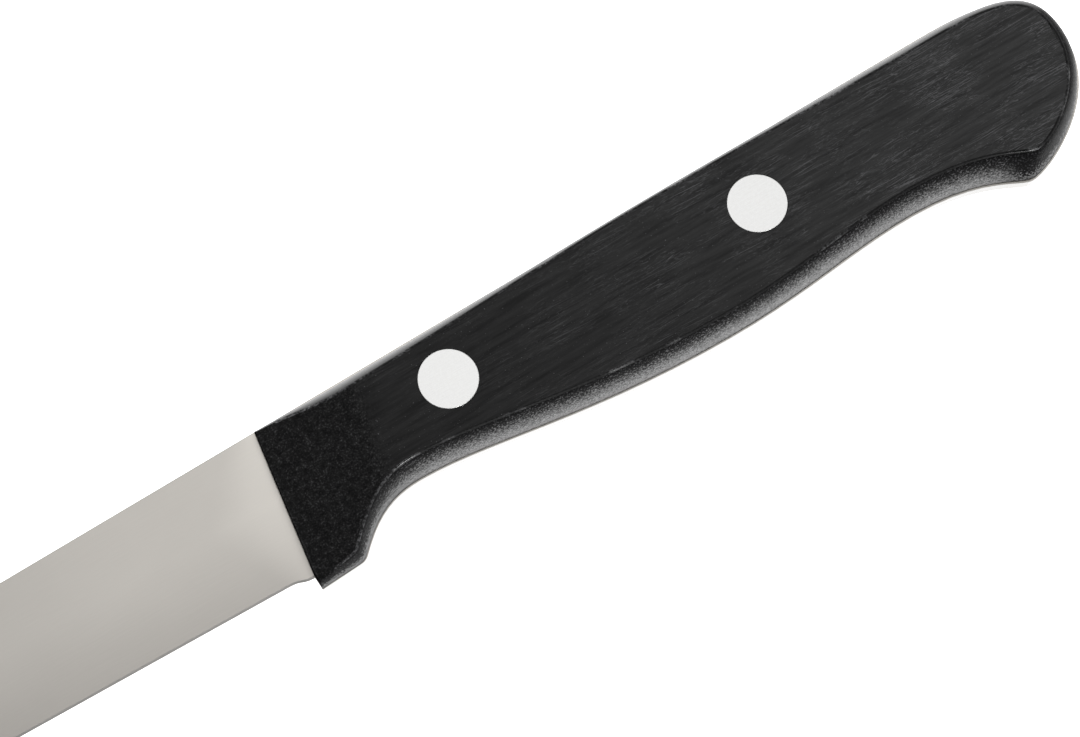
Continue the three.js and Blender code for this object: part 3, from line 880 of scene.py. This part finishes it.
# %% Helper for the gloss of the sides
STIPPLE = (-0.33, 0.33)
BELLY_POWER = 2.9
BELLY_GLOSS = 1.55
LEAST_GLOSS = 0.015
FRONT_HEIGHTS, FRONT_GLOSS = (0.1, 0.55), (0.4, 0.01)
BUTT_HEIGHTS, BUTT_GLOSS = (0, 0.28), (0.44, 0.008)
SPINE_HEIGHTS, SPINE_GLOSS = (0, 1), (0.06, 0.17)
BELLY_TO_BUTT = (-0.7, 0.1)
BUTT_TO_SPINE = (0.3, 0.95)


def belly_gloss(tree, height):
    below_crease = ranged(tree, height, (0, 1), FALLING)
    gloss = maths(tree, "MULTIPLY", maths(tree, "POWER", below_crease, BELLY_POWER), BELLY_GLOSS)
    return maths(tree, "MAXIMUM", gloss, LEAST_GLOSS)


def side_gloss(tree, grain):
    """The gloss of a moulded side, from its height, the way it faces, and the grain."""
    facing, plain_height = attribute(tree, FACING), attribute(tree, HEIGHT_SHARE)
    height = maths(tree, "ADD", plain_height, ranged(tree, grain, MOST_OF_NOISE, STIPPLE))
    front = ranged(tree, height, FRONT_HEIGHTS, FRONT_GLOSS, smooth=True)
    butt = ranged(tree, height, BUTT_HEIGHTS, BUTT_GLOSS, smooth=True)
    spine = ranged(tree, plain_height, SPINE_HEIGHTS, SPINE_GLOSS)
    at_front = along_handle(tree, FRONT_ZONE, FALLING)
    below = mixed(tree, at_front, belly_gloss(tree, height), front)
    below = mixed(tree, along_handle(tree, BUTT_ZONE, RISING), below, butt)
    behind = mixed(tree, ranged(tree, facing, BUTT_TO_SPINE, smooth=True), butt, spine)
    return mixed(tree, ranged(tree, facing, BELLY_TO_BUTT, smooth=True), below, behind)


print("At the tang the gloss is", BELLY_GLOSS, "on the belly and", SPINE_GLOSS[0], "on the spine")

# %% [markdown]
# ## The plastic of the sides
# The sides keep the grain of the mould, like the ramp, but one looks along them, so it shows as
# fine bright stipples: partly the grain's tone, partly painted glints in the colour. A displaced
# mesh would need millions of faces for that. The relief comes from a Bump node instead, deep on
# the belly and flat on the spine, where the light passes at a low angle and would make it look too
# coarse.

# %% Make the plastic of the sides
SIDE_GRAIN = (0.22 * MM,) * 3
STIPPLE_NOISE = (0.3, 0.48)
STIPPLE_AND_GLINT_GREY = 0.04
SIDE_ROUGHNESS = (0.37, 0.27)
BELLY_TO_SPINE = (-0.5, 0.5)
SIDE_DEPTHS = (0.05 * MM, 0.006 * MM)


def grained_side():
    material, tree, shader = new_finish("grained_plastic_side")
    grain = noise(tree, SIDE_GRAIN, detail=3)
    # Painted glints: the pale stipples in the colour are partly the grain's own tone, partly painted
    # glints.
    stipples = ranged(tree, grain, STIPPLE_NOISE, FALLING)
    join(tree, tint(tree, stipples, BLACK, grey(STIPPLE_AND_GLINT_GREY)), shader, "Base Color")
    join(tree, ranged(tree, grain, MOST_OF_NOISE, SIDE_ROUGHNESS), shader, "Roughness")
    join(tree, side_gloss(tree, grain), shader, "Specular IOR Level")
    depth = ranged(tree, attribute(tree, FACING), BELLY_TO_SPINE, SIDE_DEPTHS)
    join(tree, bump(tree, maths(tree, "MULTIPLY", grain, depth)), shader, "Normal")
    return material


plastics[SIDE] = grained_side()
print(plastics[SIDE].name, "has", len(plastics[SIDE].node_tree.nodes), "nodes")

# %% [markdown]
# ## Wear and painted highlights on the crease
# The crease is paler in some places than in others: most at the front, and a little more on the
# spine side than on the belly. Part of this is nicks of wear, and part is a painted highlight
# along the crease. Just in front of the hook it has neither and no shine, so the hook's corner
# stands out. The places could be drawn by hand, but a slow noise spreads them by chance, as wear
# does, and the zones add what is known.

# %% Helper for the wear
FRONT_WEAR_NOISE, FRONT_WEAR_AND_HIGHLIGHT = (0.35, 0.6), (0.3, 1)
WEAR_NOISE, CREASE_WEAR_AND_HIGHLIGHT = (0.5, 0.62), (0.05, 0.7)
SPINE_FACING, MORE_WEAR_AND_HIGHLIGHT_ON_SPINE = (0.3, 0.9), (0, 0.09)


def wear_and_highlight_share(tree, wear, off_the_hook):
    """How pale the crease is, for wear and a painted highlight, from a slow noise and the zones."""
    at_front = along_handle(tree, FRONT_ZONE, FALLING)
    front_wear_and_highlight = maths(
        tree, "MULTIPLY", at_front, ranged(tree, wear, FRONT_WEAR_NOISE, FRONT_WEAR_AND_HIGHLIGHT))
    more_wear_and_highlight_on_spine = ranged(tree, attribute(tree, FACING), SPINE_FACING, MORE_WEAR_AND_HIGHLIGHT_ON_SPINE)
    worn_and_highlighted = ranged(tree, maths(tree, "ADD", wear, more_wear_and_highlight_on_spine), WEAR_NOISE, CREASE_WEAR_AND_HIGHLIGHT)
    return maths(tree, "MAXIMUM", maths(tree, "MULTIPLY", worn_and_highlighted, off_the_hook), front_wear_and_highlight)


print("Wear goes from", CREASE_WEAR_AND_HIGHLIGHT[0], "to", CREASE_WEAR_AND_HIGHLIGHT[1], "and up to", FRONT_WEAR_AND_HIGHLIGHT[1], "at the front")

# %% [markdown]
# ## The rubbed crease and its painted highlight
# Where the crease is rubbed it is smooth and shines, and fine nicks show pale in it; that pale
# colour is also a painted highlight, seen from every side alike. The shine breaks the lit highlight
# into short pieces. A bright strip of mesh could stand for each piece, but it would shine from every
# side alike. A gloss that follows the wear lights up only where the light does.

# %% Make the rubbed crease
WEAR_SIZE = (5 * MM,) * 3
NICK_SIZE = (0.3 * MM,) * 3
NICK_NOISE = (0.42, 0.7)
NICK_AND_HIGHLIGHT_GREY = 0.2
RUBBED_NOISE, RUBBED_GLOSS, RUBBED_ROUGHNESS = (0.5, 0.64), (0.05, 1.0), (0.4, 0.2)
LEAST_SHINE = 0.2


def rubbed_crease_with_painted_highlight():
    material, tree, shader = new_finish("rubbed_plastic_crease_painted_highlight")
    wear = noise(tree, WEAR_SIZE, detail=4)
    nicks = ranged(tree, noise(tree, NICK_SIZE, detail=3), NICK_NOISE)
    before_hook, after_hook = ((BUTT_ZONE, FALLING), (HOOK_ZONE, RISING))
    off_the_hook = maths(
        tree, "MAXIMUM", along_handle(tree, *before_hook), along_handle(tree, *after_hook))
    nicks_and_painted_highlight = maths(tree, "MULTIPLY", nicks, wear_and_highlight_share(tree, wear, off_the_hook))
    # Painted highlight: the pale nicks also paint a thin light line along the crease, under any light.
    join(tree, tint(tree, nicks_and_painted_highlight, BLACK, grey(NICK_AND_HIGHLIGHT_GREY)), shader, "Base Color")
    rubbed = ranged(tree, wear, RUBBED_NOISE, RUBBED_GLOSS)
    shine = maths(tree, "MAXIMUM", maths(tree, "MULTIPLY", rubbed, off_the_hook), LEAST_SHINE)
    join(tree, shine, shader, "Specular IOR Level")
    join(tree, ranged(tree, wear, RUBBED_NOISE, RUBBED_ROUGHNESS), shader, "Roughness")
    return material


plastics[CREASE] = rubbed_crease_with_painted_highlight()
print(plastics[CREASE].name, "has", len(plastics[CREASE].node_tree.nodes), "nodes")

# %% [markdown]
# ## The dull groove
# The groove and the narrow front are never polished and hold a little dust. Plain black would
# do for the groove, but the front faces show from the blade's side, so a noise spreads the dust
# unevenly. There is no gloss at all. Then each scale gets its four plastics.

# %% Make the dull groove and put the plastics on
DUST_SIZE = (1.5 * MM,) * 3
DUST_NOISE = (0.4, 0.6)
CLEAN_GREY, DUSTY_GREY = 0.002, 0.012
DULL_ROUGHNESS = 0.9
NO_GLOSS = 0.0


def dull_groove():
    material, tree, shader = new_finish("dull_plastic_groove")
    dust = ranged(tree, noise(tree, DUST_SIZE), DUST_NOISE)
    join(tree, tint(tree, dust, grey(CLEAN_GREY), grey(DUSTY_GREY)), shader, "Base Color")
    shader.inputs["Roughness"].default_value = DULL_ROUGHNESS
    shader.inputs["Specular IOR Level"].default_value = NO_GLOSS
    return material


plastics[GROOVE] = dull_groove()
for scale in scales:
    put_on(scale, plastics)

# %% [markdown]
# ## The head of a rivet
# Only the flat heads of a cutlery rivet show. Each is a turned part, so half of a section tells
# all about it. A cylinder with a bevel would look the same, but a profile also holds the rest of
# the rivet: it is a list of pairs, a radius and a height. The corner is cut twice, so that the
# head ends in a small rounding.

# %% Draw the head
HEAD_ROUNDING = 0.06 * MM
CORNER_CUT = 0.3 * HEAD_ROUNDING
HEAD_HEIGHT = 2.2 * MM


def head_profile(radius, seat, face):
    """From the seat round the corner to the middle of the flat face."""
    outward = 1 if face > seat else -1
    return [
        (radius, seat),
        (radius, face - outward * HEAD_ROUNDING),
        (radius - CORNER_CUT, face - outward * CORNER_CUT),
        (radius - HEAD_ROUNDING, face),
        (0.5 * radius, face),
        (0, face),
    ]


print("A head is", HEAD_HEIGHT / MM, "mm high, with a rounding of", HEAD_ROUNDING / MM, "mm")

# %% [markdown]
# ## The two halves
# A cutlery rivet has a solid half and a tubular half, which is pressed over the pin of the other.
# Both could be left out below the head, because the handle hides them, but then the knife would
# not come apart as the real one does. So each profile runs from the axis round to the axis.

# %% Draw the halves
PIN_RADIUS = 1.5 * MM
PIN_POINT = 0.5 * MM
PIN_CLEARANCE = 0.08 * MM
TUBE_WALL = 0.7 * MM


def pin_profile(radius, low, high):
    seat = high - HEAD_HEIGHT
    point = [(0, low), (PIN_RADIUS - PIN_POINT, low), (PIN_RADIUS, low + PIN_POINT)]
    return point + [(PIN_RADIUS, seat)] + head_profile(radius, seat, high)


def tube_profile(radius, low, high):
    seat = low + HEAD_HEIGHT
    bore_radius = PIN_RADIUS + PIN_CLEARANCE
    tube_radius = PIN_RADIUS + PIN_CLEARANCE + TUBE_WALL
    bore = [(0, seat), (bore_radius, seat), (bore_radius, high)]
    return bore + [(tube_radius, high), (tube_radius, seat)] + head_profile(radius, seat, low)


PROFILES = {"pin": pin_profile, "tube": tube_profile}
print("Bore of the tubular half in mm:", round(2 * (PIN_RADIUS + PIN_CLEARANCE) / MM, 2))

# %% [markdown]
# ## The rivets
# A lathe cuts a profile all round a bar. Cylinders joined end to end could copy that, but they
# leave faces inside. The spin operator works like the lathe: it carries the profile about the
# rivet's axis in small steps. The radius of the head and both ends are read from the solids, so
# each half fills the place of its solid.

# %% Spin the rivet halves
ROUND_STEPS = 96


def spun(profile, axis):
    """A closed turned shape from a profile of (radius, height) that starts and ends on the axis."""
    shape = bmesh.new()
    corners = [shape.verts.new((axis.x + radius, axis.y, height)) for radius, height in profile]
    edges = [shape.edges.new(pair) for pair in zip(corners, corners[1:])]
    bmesh.ops.spin(
        shape, geom=corners + edges, cent=(axis.x, axis.y, 0), axis=(0, 0, 1), angle=math.tau,
        steps=ROUND_STEPS, use_merge=True)
    bmesh.ops.remove_doubles(shape, verts=shape.verts, dist=MERGE_DISTANCE)
    return shape


def rivet_half(place, half):
    node = f"{place}_rivet_{half}_half"
    low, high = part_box(node)
    profile = PROFILES[half]((high.x - low.x) / 2, low.z, high.z)
    shape = spun(profile, rivet_axis[place])
    return finished_piece(shape, f"{place}_rivet_{half}", node)


rivets = [rivet_half(place, half) for place in RIVETS for half in PROFILES]

# %% [markdown]
# ## Rivet metal
# The heads are linished together with the flats, but their metal is pale and soft, so each shows
# as a bright satin disc with only a breath of mottling. A plain white would look like a hole in
# the picture. Fine belt lines and a mottling are averaged, and the result moves the colour, the
# roughness and the relief together.

# %% Make the rivet metal
RIVET_LINES = (2.5 * MM, 0.09 * MM, 1 * MM)
MOTTLING_SIZE = (0.5 * MM, 0.4 * MM, 0.5 * MM)
MOTTLING_NOISE = (0.4, 0.6)
RIVET_DARK, RIVET_LIGHT = (0.87, 0.87, 0.86), (0.97, 0.97, 0.96)
RIVET_ROUGHNESS = (0.36, 0.46)
RIVET_DEPTH = 0.002 * MM


def satin_rivet_metal():
    material, tree, shader = new_finish("satin_rivet_metal")
    lines, mottling = noise(tree, RIVET_LINES, detail=3), noise(tree, MOTTLING_SIZE, detail=3)
    share = average(tree, lines, mottling)
    colour = tint(tree, ranged(tree, share, MOTTLING_NOISE), RIVET_DARK, RIVET_LIGHT)
    join(tree, colour, shader, "Base Color")
    join(tree, ranged(tree, share, MOST_OF_NOISE, RIVET_ROUGHNESS), shader, "Roughness")
    join(tree, bump(tree, share, RIVET_DEPTH), shader, "Normal")
    shader.inputs["Metallic"].default_value = 1.0
    return material


rivet_metal = {0: satin_rivet_metal()}
for rivet in rivets:
    put_on(rivet, rivet_metal)
